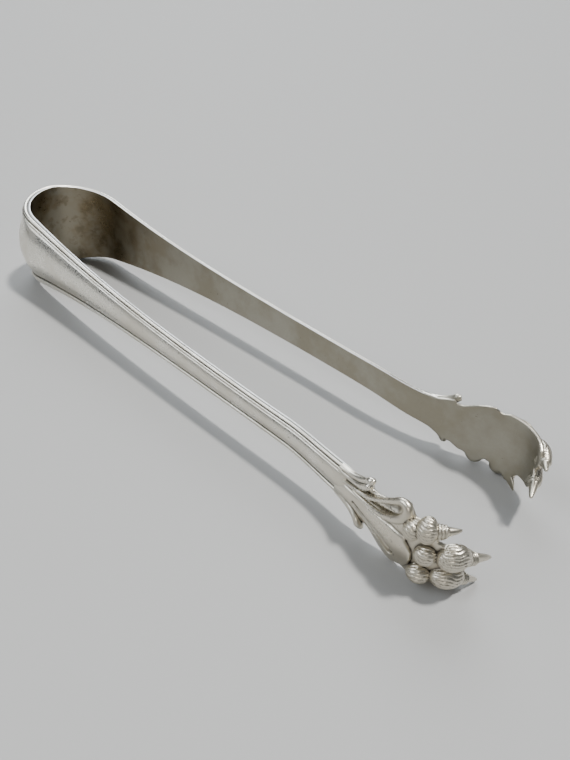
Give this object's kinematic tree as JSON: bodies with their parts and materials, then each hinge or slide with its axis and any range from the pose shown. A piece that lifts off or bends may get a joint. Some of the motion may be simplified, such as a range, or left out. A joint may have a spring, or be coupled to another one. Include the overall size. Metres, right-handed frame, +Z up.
{
  "type": "ice tongs",
  "caption": "Bow-spring ice tongs: U-shaped bow, tapering arms with a double thread border, and cast three-toed claws.",
  "frame": {"origin": "bottom centre of the bounding box, on the surface that the tongs lie on", "axes": "+X from the bow to the claws, +Y to the left arm, +Z up, across the strip's width"},
  "size_m": [0.1689, 0.046, 0.0262],
  "materials": {
    "silver_plate": "worn silver plate, satin inside, with dark tarnish in the grooves"
  },
  "bodies": {
    "bow": {"bow": "silver_plate"},
    "arm_left": {"arm_left": "silver_plate", "claw_left": "silver_plate"},
    "arm_right": {"arm_right": "silver_plate", "claw_right": "silver_plate"}
  },
  "joints": [
    {"name": "squeeze_left", "type": "hinge", "parent": "bow", "child": "arm_left", "pos_m": [-0.07637, 0.01178, 0.01288], "axis": [0.0212, 0, 0.9998], "range_deg": [-3, 3], "stiffness_Nm_per_rad": 13, "deforming": ["bow"]},
    {"name": "squeeze_right", "type": "hinge", "parent": "bow", "child": "arm_right", "pos_m": [-0.07637, -0.01178, 0.01288], "axis": [0.0212, 0, 0.9998], "range_deg": [-3, 3], "stiffness_Nm_per_rad": 13, "deforming": ["bow"]}
  ],
  "couplings": [
    {"joint": "squeeze_right", "follows": "squeeze_left", "ratio": -1}
  ]
}
